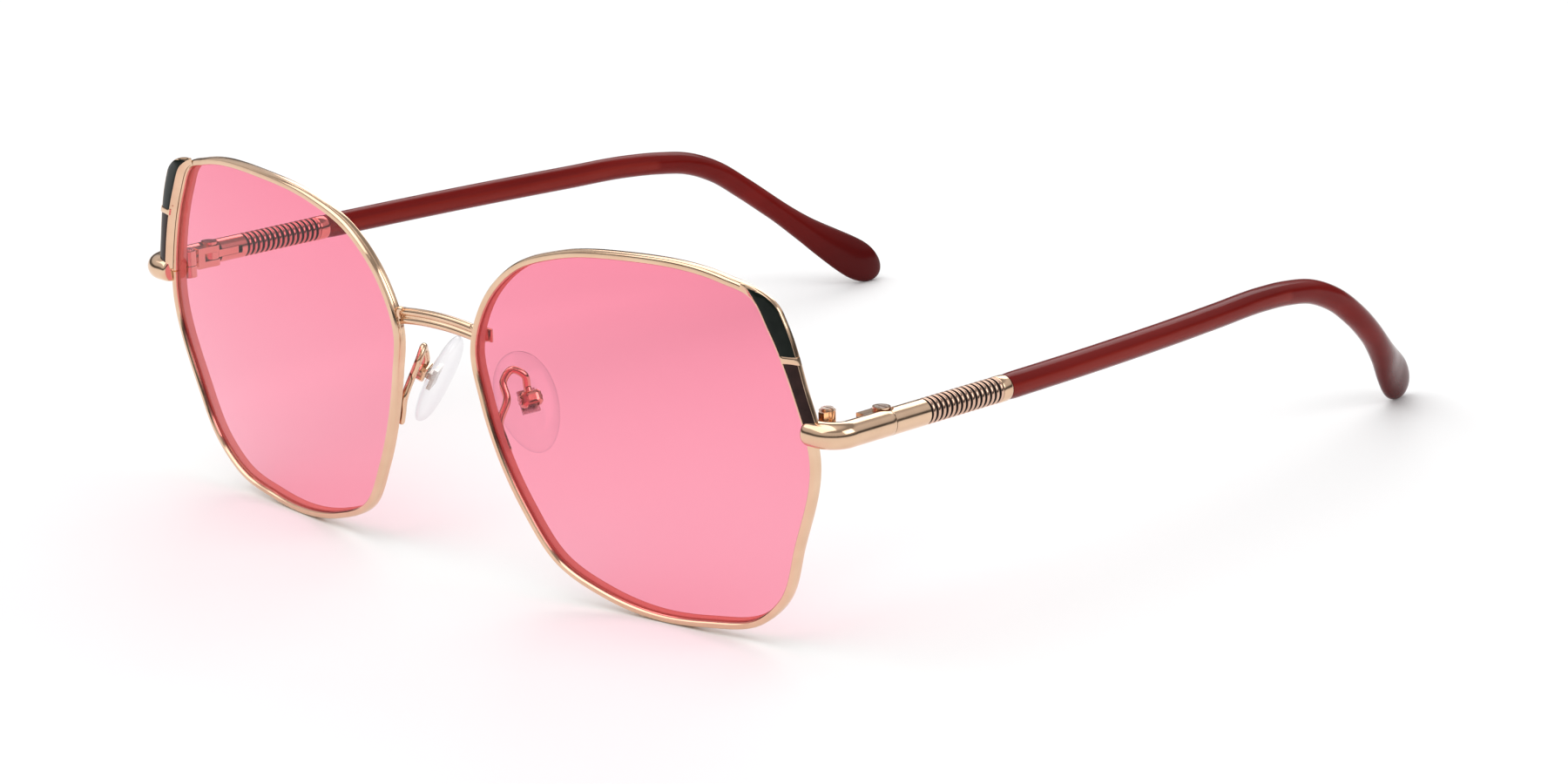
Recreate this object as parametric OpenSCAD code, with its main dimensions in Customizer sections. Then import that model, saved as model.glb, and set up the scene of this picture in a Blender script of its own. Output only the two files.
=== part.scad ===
// Cat eye sunglasses: wire rims, tinted lenses, enamelled corners and spring-hinged temples.
// The front faces -Y, +X is the wearer's left, and the glasses stand on rims and temple tips.
// Left pieces are modelled and right pieces are their mirror images.

/* [Lenses] */
// Width of one lens opening
lens_w = 57; // [55:0.5:59]
// Height of one lens opening
lens_h = 51.5; // [50:0.5:53]
// Gap between the two lens openings
bridge_w = 17.5; // [16.5:0.5:19]
// Radius of the spherical lens face
lens_curve = 195; // [180:5:260]
// Thickness of the lens
lens_t = 1.6; // [1.2:0.1:2]
// Turn of each lens towards the temple
wrap = 6.5; // [5:0.5:8]
// Forward lean of the front
lean = 4; // [3:0.5:5]

/* [Rims] */
// Width of the rim wire seen from the front
wire_w = 1.05; // [0.9:0.05:1.2]
// Width of the enamelled corner plate at its lower end
plate_w = 3.1; // [2.8:0.1:3.3]

/* [Temples] */
// Half the distance between the two hinge axes
hinge_x = 69; // [68.5:0.5:71]
// Slope of the straight part of the temple
temple_drop = 2.2; // [1.5:0.1:3]
// Radius of the metal ferrule and of the end piece
ferrule_r = 1.85; // [1.8:0.05:1.95]
// Number of grooves in the ribbed sleeve
groove_count = 15; // [8:1:15]
// Radius of the acetate temple
temple_r = 1.88; // [1.8:0.02:2]
// Half width of the paddle at the temple tip
paddle_r = 3.5; // [3:0.1:3.8]

/* [Hinges] */
// Radius of the hinge screw
screw_r = 0.6; // [0.5:0.05:0.6]
// Turns of the hinge spring
spring_turns = 7; // [5:1:8]

/* [Nose pads] */
// Length of a nose pad
pad_l = 15; // [13:0.5:15.5]
// Width of a nose pad
pad_w = 9; // [8:0.5:9.5]
// Radius of the pad arm wire
arm_r = 0.55; // [0.45:0.05:0.6]

/* [Hidden] */

gold = [0.86, 0.67, 0.54];
tint = [0.98, 0.58, 0.68, 0.6];
acetate = [0.40, 0.10, 0.10];
eps = 0.02;
$fn = 48;

// The front of the lenses lies this far ahead of the middle of the whole object.
front_y = -77.65;
lens_c = [bridge_w / 2 + lens_w / 2 - 0.55, 1.5, 28.39];

// Shape of one lens opening, seen from the front, with the nose on the left.
OUTLINE = [for (p = [
  [29, 0], [27, 9], [23.5, 17.5], [21, 21.5], [16.5, 23], [0, 24], [-11.5, 22.5], [-19.5, 19.5],
  [-26, 13], [-28.5, 6], [-27.5, 0], [-21.5, -15.5], [-16.5, -22.5], [-8.5, -26], [0, -27.5],
  [9, -27], [18, -25], [22, -21.5], [25.5, -13]
]) [p[0] * lens_w / 57.5, p[1] * lens_h / 51.5]];
SPANS = len(OUTLINE);
STEPS = 5;

// Places on the outline, counted in its points.
split_s = 0.46;
plate_top_s = 3.4;
divider_s = [1.5, 1.6];

// ---- curves -------------------------------------------------------------------------------

function knot(list, i) = list[(i + len(list)) % len(list)];
function chord(list, i) = norm(knot(list, i + 1) - knot(list, i));

// Tangent at a point of a closed list, weighted by the chords on its two sides.
function loop_tangent(list, i) =
  let (a = chord(list, i - 1), b = chord(list, i))
  ((knot(list, i) - knot(list, i - 1)) * b / a + (knot(list, i + 1) - knot(list, i)) * a / b) / (a + b);

function hermite(a, ta, b, tb, t) =
  (2 * t * t * t - 3 * t * t + 1) * a + (t * t * t - 2 * t * t + t) * ta
  + (-2 * t * t * t + 3 * t * t) * b + (t * t * t - t * t) * tb;

// Point on the closed curve through a list, at place s counted in its points.
function loop_point(list, s) =
  let (n = len(list), q = (s + n) % n, i = floor(q), size = chord(list, i))
  hermite(knot(list, i), loop_tangent(list, i) * size, knot(list, i + 1),
    loop_tangent(list, i + 1) * size, q - i);

function path_chord(list, i) = norm(list[i + 1] - list[i]);
function path_tangent(list, i) =
  i == 0 ? (list[1] - list[0]) / path_chord(list, 0) :
  i == len(list) - 1 ? (list[i] - list[i - 1]) / path_chord(list, i - 1) :
  let (a = path_chord(list, i - 1), b = path_chord(list, i))
  ((list[i] - list[i - 1]) * b / a + (list[i + 1] - list[i]) * a / b) / (a + b);

// Point on the open curve through a list, at place s counted in its points.
function path_point(list, s) =
  let (i = min(floor(s), len(list) - 2), size = path_chord(list, i))
  hermite(list[i], path_tangent(list, i) * size, list[i + 1], path_tangent(list, i + 1) * size, s - i);

// Rounded fade from 0 at a to 1 at b.
function ease(a, b, s) = let (t = max(0, min(1, (s - a) / (b - a)))) t * t * (3 - 2 * t);

function unit(v) = v / norm(v);
function path_direction(list, s) =
  let (d = 0.02)
  unit(path_point(list, min(s + d, len(list) - 1)) - path_point(list, max(s - d, 0)));

// Solid through a list of rings with the same number of points.
module skin(rings) {
  n = len(rings);
  m = len(rings[0]);
  polyhedron(
    points = [for (ring = rings) each ring],
    faces = concat(
      [for (j = [1:m - 2]) [0, j + 1, j]],
      [for (i = [0:n - 2], j = [0:m - 1]) each [
        [i * m + j, i * m + (j + 1) % m, (i + 1) * m + (j + 1) % m],
        [i * m + j, (i + 1) * m + (j + 1) % m, (i + 1) * m + j]
      ]],
      [for (j = [1:m - 2]) [(n - 1) * m, (n - 1) * m + j, (n - 1) * m + j + 1]]
    )
  );
}

// Round wire of radius r along an open path that never runs straight across the front.
module wire(list, r, rings, sides) {
  skin([for (k = [0:rings - 1])
    let (s = k * (len(list) - 1) / (rings - 1), p = path_point(list, s), d = path_direction(list, s),
      a = unit(cross(d, [1, 0, 0])), b = cross(a, d))
    [for (j = [0:sides - 1]) p + r * (cos(360 * j / sides) * a + sin(360 * j / sides) * b)]
  ]);
}

// ---- places -------------------------------------------------------------------------------

module left() translate([0, front_y, 0]) children();
module right() translate([0, front_y, 0]) mirror([1, 0, 0]) children();

// Lens frame: x outwards, y back from the lens apex, z up along the lens.
module in_lens_frame() translate(lens_c) rotate([0, 0, wrap]) rotate([lean, 0, 0]) children();

function lens_to_front(p) =
  let (y = p[1] * cos(lean) - p[2] * sin(lean), z = p[1] * sin(lean) + p[2] * cos(lean))
  lens_c + [p[0] * cos(wrap) - y * sin(wrap), p[0] * sin(wrap) + y * cos(wrap), z];

function sag(u, v) = lens_curve - sqrt(lens_curve * lens_curve - u * u - v * v);

// Point at place s on the rim, out from the lens opening and back from the lens face.
function rim_point(s, out, back) =
  let (p = loop_point(OUTLINE, s), t = loop_point(OUTLINE, s + 0.01) - loop_point(OUTLINE, s - 0.01),
    q = p + out * [t[1], -t[0]] / norm(t))
  [q[0], sag(q[0], q[1]) + back, q[1]];

function rim_ring(s, section) = [for (p = section) rim_point(s, p[0], p[1])];

// Strip with a given section that follows the rim from place s0 to place s1.
module rim_strip(s0, s1, rings, section)
  in_lens_frame() skin([for (k = [0:rings - 1]) rim_ring(s0 + (s1 - s0) * k / (rings - 1), section)]);

// Hinge frame: origin on the hinge axis, y back along the ferrule, z up the hinge axis.
hinge_y = 16.75;
hinge_z = 32.35;
axis_x = 1;
module in_hinge_frame() translate([hinge_x, hinge_y, hinge_z]) rotate([-temple_drop, 0, 0]) children();

// Cylinder of radius r on the ferrule's own axis, from y0 back to y1.
module along_ferrule(r, y0, y1) translate([axis_x, y0, 0]) rotate([-90, 0, 0]) cylinder(r = r, h = y1 - y0);

// Pad frame: origin in the middle of the pad, x away from the nose, z up its length.
pad_c = [9.2, 8.7, 25.5];
pad_tilt = 8;
pad_splay = 28;
pad_turn = 30;
module in_pad_frame() translate(pad_c) rotate([pad_tilt, -pad_splay, -pad_turn]) children();

function pad_to_front(p) =
  let (y = p[1] * cos(pad_tilt) - p[2] * sin(pad_tilt), up = p[1] * sin(pad_tilt) + p[2] * cos(pad_tilt),
    x = p[0] * cos(pad_splay) - up * sin(pad_splay), z = p[0] * sin(pad_splay) + up * cos(pad_splay))
  pad_c + [x * cos(pad_turn) + y * sin(pad_turn), y * cos(pad_turn) - x * sin(pad_turn), z];

// ---- front --------------------------------------------------------------------------------

rim_section = [
  [0.42, 0.45], [0, 0.72], [0, 0.95], [0.2, 1.15], [wire_w - 0.2, 1.12], [wire_w, 0.85],
  [wire_w, 0.05], [wire_w - 0.14, -0.32], [wire_w / 2, -0.42], [0.14, -0.32], [0, -0.05], [0, 0.18]
];
rim_back = 1.15;

module rim() {
  gap_s = 0.012;
  color(gold) rim_strip(split_s + gap_s, split_s + SPANS - gap_s, SPANS * STEPS + 1, rim_section);
}

module lens() {
  front = 0.2;
  edge = [[-0.06, front], [0.32, 0.45], [-0.06, 0.7], [-0.06, front + lens_t]];
  count = SPANS * STEPS;
  function face_ring(part, back) = [for (i = [0:count - 1])
    let (p = loop_point(OUTLINE, split_s + i / STEPS) * part) [p[0], sag(p[0], p[1]) + back, p[1]]];
  function edge_ring(p) = [for (i = [0:count - 1]) rim_point(split_s + i / STEPS, p[0], p[1])];
  rings = concat([face_ring(0.02, front), face_ring(0.5, front)], [for (p = edge) edge_ring(p)],
    [face_ring(0.5, front + lens_t), face_ring(0.02, front + lens_t)]);
  color(tint) in_lens_frame() skin(rings);
}

// The corner plate is soldered to the front of the rim wire and overhangs it outwards. It is
// widest near its top, then narrows and thins until it runs out along the rim.
plate_front = -1.4;
plate_bottom_s = 0.5;
plate_inner = 1.15;
plate_end_w = 1.3;
plate_swell = 0.75;
solder_y = -0.46;
pocket_floor = -0.95;
pocket_inner = plate_inner + 0.05;
pocket_top_s = 2.82;
slant = 0.04;

function plate_edge(s) =
  plate_w + plate_swell * ease(0.9, 2.1, s) - (plate_w + plate_swell - plate_end_w) * ease(2.3, 3.5, s);
function plate_face(s) = plate_front + 0.8 * ease(2.8, plate_top_s, s);
function plate_section(s) =
  let (e = plate_edge(s), f = plate_face(s), d = solder_y - f)
  [[e - 0.3 * d, solder_y], [e, solder_y - 0.55 * d], [e - 0.12 * d, f], [plate_inner, f], [0.35, solder_y]];

// Rings of the pockets and of the enamel lean over, so that the divider lies level.
function slanted_ring(s, section) = [for (p = section) rim_point(s - slant * (p[0] - plate_inner), p[0], p[1])];
function pocket_edge(s) =
  let (full = plate_edge(s - 0.1) - 0.16, t = max(0, min(1, (s - 2.6) / 0.25)))
  pocket_inner + (full - pocket_inner) * (1 - pow(t, 1.3));
function pocket_section(s) =
  let (e = pocket_edge(s))
  [[pocket_inner, pocket_floor], [e, pocket_floor], [e, -3], [pocket_inner, -3]];
function enamel_section(s) =
  let (a = pocket_inner + eps, b = pocket_edge(s) - eps, f = plate_face(s), floor_y = pocket_floor - eps)
  [[a, floor_y], [b, floor_y], [b, f + 0.08], [(a + b) / 2, f - 0.03], [a, f + 0.03]];
function stations(s0, s1, count) = [for (k = [0:count - 1]) s0 + (s1 - s0) * k / (count - 1)];

module pocket(s0, s1, count)
  in_lens_frame() skin([for (s = stations(s0, s1, count)) slanted_ring(s, pocket_section(s))]);
module enamel(s0, s1, count)
  in_lens_frame() skin([for (s = stations(s0, s1, count)) slanted_ring(s, enamel_section(s))]);

module corner_plate() color(gold) difference() {
  in_lens_frame() skin([for (s = stations(plate_bottom_s, plate_top_s, 20)) rim_ring(s, plate_section(s))]);
  pocket(divider_s[1], pocket_top_s, 16);
  pocket(plate_bottom_s - 0.1, divider_s[0], 8);
  in_hinge_frame() end_bar(0.03);
}
module upper_enamel() color([0.10, 0.13, 0.13]) enamel(divider_s[1] + 0.004, pocket_top_s - 0.008, 16);
module lower_enamel() color([0.20, 0.14, 0.13]) difference() {
  enamel(plate_bottom_s + 0.08, divider_s[0] - 0.004, 7);
  in_hinge_frame() end_bar(0.03);
}

// Arched bar with two ridges, and a tab behind each rim.
module bridge() {
  half = 7.5;
  rise = 0.5;
  height = 37;
  depth = 1.15;
  section = [
    [-0.25, 0], [-0.6, -0.4], [-0.6, -0.75], [-0.35, -1.15], [0.3, -1.2], [0.65, -1],
    [0.65, 1], [0.3, 1.2], [-0.35, 1.15], [-0.6, 0.75], [-0.6, 0.4]
  ];
  rings = 15;
  color(gold) union() {
    skin([for (k = [0:rings - 1])
      let (x = half * (1 - 2 * k / (rings - 1)), z = height + rise * (1 - x * x / (half * half)))
      [for (p = section) [x, depth + p[0], z + p[1]]]]);
    for (side = [0, 1]) mirror([side, 0, 0]) {
      translate([6.8, 1.6, height - 1.3]) cube([1.5, 1.2, 2]);
      translate([6.8, 2.35, height - 1.3]) cube([2.4, 0.45, 2]);
    }
  }
}

// Round bar that comes forward from the hinge, turns the corner and crosses the rim.
bend_r = 2.8;
bend_y = -7.6;
nose_len = 1.7;
butt_y = 0.18;
module end_bar(grow) {
  r = ferrule_r + grow;
  bend_x = axis_x - bend_r;
  along_ferrule(r, bend_y, butt_y - 0.08 + grow);
  translate([bend_x, bend_y, 0]) rotate([0, 0, -90]) rotate_extrude(angle = 90) translate([bend_r, 0]) circle(r);
  translate([bend_x, bend_y - bend_r, 0]) rotate([0, -90, 0]) cylinder(r = r, h = nose_len + grow);
}

knuckle_r = 1.6;
tongue_half = 0.55;
leaf_back = -3.4;
module end_piece() color(gold) difference() {
  in_hinge_frame() end_bar(0);
  in_lens_frame() translate([15, sag(29, 4) - 0.5, -5]) cube([15.3, 9, 15]);
  in_hinge_frame() {
    translate([-4, leaf_back, -3]) cube([4.2, 10, 6]);
    translate([0, 0, -3]) cylinder(r = knuckle_r + 0.04, h = 6);
  }
}

block_c = [65.6, 9.9];
block_r = 1.15;
block_top = 35;
block_split = 32.7;
block_bottom = 30.9;
rim_reach = 8.25;
module closing_half(z0, z1, hole_r) color(gold) difference() {
  union() {
    translate([block_c[0], block_c[1], z0]) cylinder(r = block_r, h = z1 - z0);
    translate([block_c[0] - 0.1, rim_reach, z0]) cube([1, block_c[1] - rim_reach, z1 - z0]);
  }
  translate([block_c[0], block_c[1], z0 - 1]) cylinder(r = hole_r, h = z1 - z0 + 2);
}

module closing_block_upper() closing_half(block_split + 0.06, block_top, 0.52);
module closing_block_lower() closing_half(block_bottom, block_split - 0.06, 0.52);

// Slotted screw standing on its tip, with the underside of its head at z.
module slotted_screw(r, shank, head_r, head_h) difference() {
  union() {
    translate([0, 0, -shank]) cylinder(r = r, h = shank);
    cylinder(r = head_r, h = head_h);
  }
  translate([-head_r, -0.12, head_h - 0.18]) cube([2 * head_r, 0.24, 1]);
}

module closing_screw() color("silver") translate([block_c[0], block_c[1], block_top + eps])
  slotted_screw(0.5, block_top - block_bottom - 0.4, 0.85, 0.3);

// ---- hinge --------------------------------------------------------------------------------

knuckle_in = 0.62;
knuckle_out = 1.6;
boss_top = 2.1;
boss_r = 1.25;
head_seat = 1.7;
bush_r = screw_r + 0.25;
module hinge_leaf() color(gold) in_hinge_frame() difference() {
  union() {
    translate([0, 0, -knuckle_out]) cylinder(r = knuckle_r, h = 2 * knuckle_out);
    translate([0, 0, knuckle_out - 0.1]) cylinder(r = boss_r, h = boss_top - knuckle_out + 0.1);
    translate([-1.5, leaf_back + 0.03, -knuckle_out]) cube([1.67, -leaf_back, 2 * knuckle_out]);
  }
  translate([-3, -2.1, -knuckle_in]) cube([6, 6, 2 * knuckle_in]);
  translate([0, 0, -3]) cylinder(r = screw_r + 0.03, h = 6);
  translate([0, 0, head_seat]) cylinder(r = 1.03, h = 1);
}

module hinge_screw() color("silver") in_hinge_frame() translate([0, 0, head_seat + eps])
  slotted_screw(screw_r, head_seat + knuckle_out - 0.1, 0.98, 0.4);

module hinge_bush() color("white") in_hinge_frame() difference() {
  translate([0, 0, -tongue_half]) cylinder(r = bush_r, h = 2 * tongue_half);
  translate([0, 0, -1]) cylinder(r = screw_r + 0.03, h = 2);
}

// Sprung tongue: an eye round the bush and a bar that slides in the ferrule.
eye_r = 1.45;
bar_end = 5.2;
rod_r = 0.32;
module spring_tongue() color("silver") in_hinge_frame() difference() {
  union() {
    translate([0, 0, -tongue_half]) cylinder(r = eye_r, h = 2 * tongue_half);
    translate([-0.75, 0, -tongue_half]) cube([2.2, bar_end, 2 * tongue_half]);
  }
  translate([0, 0, -1]) cylinder(r = bush_r + 0.03, h = 2);
  along_ferrule(rod_r + eps, bar_end - 1.2, bar_end + 1);
}

rod_end = 14.4;
rod_head_r = 0.95;
module spring_rod() color("silver") in_hinge_frame() {
  along_ferrule(rod_r, bar_end - 1.15, rod_end);
  along_ferrule(rod_head_r, rod_end, rod_end + 0.7);
}

stop_y = [6.3, 7];
chamber_r = 1.12;
module spring_stop() color("silver") in_hinge_frame() difference() {
  along_ferrule(chamber_r - eps, stop_y[0], stop_y[1]);
  along_ferrule(rod_r + 0.06, stop_y[0] - 1, stop_y[1] + 1);
}

spring_wire_r = 0.15;
module hinge_spring() {
  coil_r = 0.8;
  per_turn = 10;
  sides = 6;
  y0 = stop_y[1] + spring_wire_r + eps;
  y1 = rod_end - spring_wire_r - eps;
  count = spring_turns * per_turn;
  color("silver") in_hinge_frame() skin([for (k = [0:count])
    let (a = 360 * k / per_turn, y = y0 + (y1 - y0) * k / count)
    [for (j = [0:sides - 1])
      let (q = coil_r + spring_wire_r * cos(360 * j / sides))
      [axis_x + q * cos(a), y - spring_wire_r * sin(360 * j / sides), q * sin(a)]]]);
}

// ---- temple -------------------------------------------------------------------------------

heel_y = 1.92;
neck_y = 7.05;
sleeve_y = [7.07, 22.12];
collar_y = [22.14, 23.99];
neck_r = 1.36;
neck_end = 23.9;
core_start = 21;
core_r = 0.65;
module ferrule() color(gold) in_hinge_frame() difference() {
  union() {
    along_ferrule(ferrule_r, butt_y, neck_y);
    along_ferrule(neck_r, neck_y - 0.1, neck_end);
  }
  along_ferrule(chamber_r, 3.1, core_start - 0.8);
  along_ferrule(core_r + eps, core_start - 1, neck_end + 1);
  translate([-2, 0, -tongue_half - 0.05]) cube([3.5, bar_end + 0.7, 2 * tongue_half + 0.1]);
  translate([-2, 0, -3]) cube([2.5, heel_y, 6]);
  translate([0, 0, -3]) cylinder(r = knuckle_r + 0.06, h = 6);
}

// Turned sleeve with round ridges between square grooves.
module ribbed_sleeve() {
  pitch = (sleeve_y[1] - sleeve_y[0]) / groove_count;
  groove = 0.34;
  depth = 0.3;
  edge = 0.12;
  ridge = [for (i = [0:groove_count - 1]) let (y = i * pitch) each [
    [ferrule_r - depth, y], [ferrule_r - depth, y + groove], [ferrule_r - edge, y + groove],
    [ferrule_r, y + groove + edge], [ferrule_r, y + pitch - edge], [ferrule_r - edge, y + pitch]
  ]];
  color("saddlebrown") in_hinge_frame() translate([axis_x, sleeve_y[0], 0]) rotate([-90, 0, 0])
    rotate_extrude() polygon(concat([[neck_r + eps, 0]], ridge, [[neck_r + eps, groove_count * pitch]]));
}

module collar() color(gold) in_hinge_frame() difference() {
  along_ferrule(ferrule_r, collar_y[0], collar_y[1]);
  along_ferrule(neck_r + eps, collar_y[0] - 1, collar_y[1] + 1);
}

// Middle line of the acetate in the hinge frame: straight, bowed inwards, then bent down.
TEMPLE_PATH = [
  [1, 24.09, 0], [0.4, 43, 0], [-0.7, 62, 0], [-1.8, 75, 0], [-2.9, 87, 0], [-3.6, 94.5, -0.5],
  [-4, 101, -1.5], [-4.3, 107.5, -3.9], [-4.8, 114, -7.8], [-6, 120, -12], [-8.2, 126.5, -16.9],
  [-10.4, 131.5, -20.5], [-12.1, 136, -23.5], [-13, 140, -25.9]
];
paddle_s = 9;
paddle_flat = 1.45;
last_s = len(TEMPLE_PATH) - 1;

// Half width across the bend and half thickness, at place s.
function temple_half(s) =
  let (grow = ease(paddle_s, last_s - 1.2, s), end = max(0, s - (last_s - 1.3)) / 1.3,
    cap = sqrt(max(0.02, 1 - end * end)))
  [(temple_r + (paddle_r - temple_r) * grow) * cap, (temple_r + (paddle_flat - temple_r) * grow) * cap];

function temple_ring(s, across, thick, sides) =
  let (p = path_point(TEMPLE_PATH, s), d = path_direction(TEMPLE_PATH, s),
    b = unit(cross(d, [1, 0, 0])), a = cross(b, d))
  [for (j = [0:sides - 1]) p + thick * cos(360 * j / sides) * a - across * sin(360 * j / sides) * b];

TEMPLE_SIDES = 12;
straight_s = [0, 0.5, 1, 1.5, 2, 3, 4];
bent_s = [for (k = [1:13]) 4 + k * 0.5];
paddle_rings = [for (k = [1:8]) 10.5 + k * (last_s - 10.5) / 8];
core_end = 9;
core_stations = [for (s = concat(straight_s, bent_s)) if (s <= core_end) s];

module temple() {
  outer = [for (s = concat(straight_s, bent_s, paddle_rings))
    let (h = temple_half(s)) temple_ring(s, h[0], h[1], TEMPLE_SIDES)];
  bore = [for (k = [len(core_stations) - 1:-1:0])
    temple_ring(core_stations[k], core_r + 0.04, core_r + 0.04, TEMPLE_SIDES)];
  color(acetate) in_hinge_frame() skin(concat(bore, outer));
}

module core_wire() color("silver") in_hinge_frame() {
  front = [axis_x, core_start, 0];
  stations = [for (s = core_stations) if (s < core_end) s];
  skin(concat(
    [[for (j = [0:TEMPLE_SIDES - 1])
      front + core_r * [cos(360 * j / TEMPLE_SIDES), 0, sin(360 * j / TEMPLE_SIDES)]]],
    [for (s = stations) temple_ring(s, core_r, core_r, TEMPLE_SIDES)]
  ));
}

// ---- nose pads ----------------------------------------------------------------------------

// Wire that is soldered to the back of the rim, then loops up and over to the pad box.
module pad_arm() {
  foot = [for (s = [10.54, 10.42, 10.3]) lens_to_front(rim_point(s, 0.52, rim_back + arm_r + 0.1))];
  route = concat(foot, [[9.7, 4.3, 27.2], [8.7, 4.7, 29.5], [9.1, 6, 30.9], [10.3, 7.3, 30]],
    [pad_to_front([2.75, -0.1, 1.62])]);
  color(gold) wire(route, arm_r, 26, 8);
}

box_x = [1.75, 3.7];
box_half = 1.6;
cheek = 0.85;
pad_axis_x = 2.75;
pad_screw_r = 0.35;
module pad_box() color(gold) in_pad_frame() difference() {
  translate([box_x[0], -box_half, -1.15]) cube([box_x[1] - box_x[0], 2 * box_half, 2.3]);
  translate([box_x[0] - 1, -cheek, -3]) cube([2.65, 2 * cheek, 3.75]);
  translate([pad_axis_x, -3, 0]) rotate([-90, 0, 0]) cylinder(r = pad_screw_r + 0.02, h = 6);
}

module pad_screw() color("silver") in_pad_frame() translate([pad_axis_x, -box_half - eps, 0])
  rotate([90, 0, 0]) slotted_screw(pad_screw_r, 2 * box_half, 0.6, 0.25);

// Metal tab moulded into the pad, which rocks on the pad screw.
tab_x = 0.35;
tab_t = 0.6;
tab_half = [1.3, 1.7];
stem_half = [0.7, 0.5];
module pad_insert() color(gold) in_pad_frame() difference() {
  union() {
    translate([pad_axis_x, -0.7, 0]) rotate([-90, 0, 0]) cylinder(r = 0.62, h = 1.4);
    translate([tab_x + tab_t - 0.05, -stem_half[0], -stem_half[1]])
      cube([pad_axis_x - tab_x - tab_t + 0.05, 2 * stem_half[0], 2 * stem_half[1]]);
    translate([tab_x, -tab_half[0], -tab_half[1]]) cube([tab_t, 2 * tab_half[0], 2 * tab_half[1]]);
  }
  translate([pad_axis_x, -2, 0]) rotate([-90, 0, 0]) cylinder(r = pad_screw_r + 0.04, h = 4);
}

pad_layers = [[-1.5, 0.5], [-1.2, 0.78], [-0.5, 0.96], [0.2, 1], [0.9, 0.86], [1.35, 0.55]];
module nose_pad() {
  sides = 24;
  color([0.95, 0.95, 0.95, 0.5]) in_pad_frame() difference() {
    skin([for (layer = pad_layers) [for (j = [0:sides - 1])
      let (a = 360 * j / sides, egg = 1 + 0.1 * cos(a))
      [layer[0], pad_w / 2 * layer[1] * egg * sin(a), pad_l / 2 * layer[1] * cos(a)]]]);
    translate([tab_x - eps, -tab_half[0] - eps, -tab_half[1] - eps])
      cube([tab_t + 2 * eps, 2 * (tab_half[0] + eps), 2 * (tab_half[1] + eps)]);
    translate([tab_x + tab_t - 0.05, -stem_half[0] - eps, -stem_half[1] - eps])
      cube([2, 2 * (stem_half[0] + eps), 2 * (stem_half[1] + eps)]);
  }
}

// ---- assembly -----------------------------------------------------------------------------

translate([0, front_y, 0]) bridge();
left() rim();  // left_rim
left() lens();  // left_lens
left() corner_plate();  // left_corner_plate
left() upper_enamel();  // left_upper_enamel
left() lower_enamel();  // left_lower_enamel
left() end_piece();  // left_end_piece
left() closing_block_upper();  // left_closing_block_upper
left() closing_block_lower();  // left_closing_block_lower
left() closing_screw();  // left_closing_screw
left() hinge_leaf();  // left_hinge_leaf
left() hinge_screw();  // left_hinge_screw
left() hinge_bush();  // left_hinge_bush
left() spring_tongue();  // left_spring_tongue
left() spring_rod();  // left_spring_rod
left() hinge_spring();  // left_hinge_spring
left() spring_stop();  // left_spring_stop
left() ferrule();  // left_ferrule
left() ribbed_sleeve();  // left_ribbed_sleeve
left() collar();  // left_collar
left() temple();  // left_temple
left() core_wire();  // left_core_wire
left() pad_arm();  // left_pad_arm
left() pad_box();  // left_pad_box
left() pad_screw();  // left_pad_screw
left() pad_insert();  // left_pad_insert
left() nose_pad();  // left_nose_pad
right() rim();  // right_rim
right() lens();  // right_lens
right() corner_plate();  // right_corner_plate
right() upper_enamel();  // right_upper_enamel
right() lower_enamel();  // right_lower_enamel
right() end_piece();  // right_end_piece
right() closing_block_upper();  // right_closing_block_upper
right() closing_block_lower();  // right_closing_block_lower
right() closing_screw();  // right_closing_screw
right() hinge_leaf();  // right_hinge_leaf
right() hinge_screw();  // right_hinge_screw
right() hinge_bush();  // right_hinge_bush
right() spring_tongue();  // right_spring_tongue
right() spring_rod();  // right_spring_rod
right() hinge_spring();  // right_hinge_spring
right() spring_stop();  // right_spring_stop
right() ferrule();  // right_ferrule
right() ribbed_sleeve();  // right_ribbed_sleeve
right() collar();  // right_collar
right() temple();  // right_temple
right() core_wire();  // right_core_wire
right() pad_arm();  // right_pad_arm
right() pad_box();  // right_pad_box
right() pad_screw();  // right_pad_screw
right() pad_insert();  // right_pad_insert
right() nose_pad();  // right_nose_pad
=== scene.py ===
import math

import bmesh
import bpy
from mathutils import Matrix, Vector


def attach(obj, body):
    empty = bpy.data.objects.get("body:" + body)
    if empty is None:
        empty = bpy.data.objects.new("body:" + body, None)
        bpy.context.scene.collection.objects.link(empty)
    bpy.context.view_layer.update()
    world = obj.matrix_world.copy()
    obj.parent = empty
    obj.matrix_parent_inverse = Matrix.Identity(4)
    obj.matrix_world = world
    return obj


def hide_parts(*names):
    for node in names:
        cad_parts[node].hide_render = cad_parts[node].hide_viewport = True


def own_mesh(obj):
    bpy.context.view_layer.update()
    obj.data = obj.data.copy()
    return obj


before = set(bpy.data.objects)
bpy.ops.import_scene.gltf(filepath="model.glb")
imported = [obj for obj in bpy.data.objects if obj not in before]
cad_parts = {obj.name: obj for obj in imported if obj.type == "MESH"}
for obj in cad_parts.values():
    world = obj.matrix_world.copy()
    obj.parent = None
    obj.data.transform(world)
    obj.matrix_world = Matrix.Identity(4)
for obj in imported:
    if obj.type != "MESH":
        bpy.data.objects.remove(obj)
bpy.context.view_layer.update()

# ---- sizes --------------------------------------------------------------------------------

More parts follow.
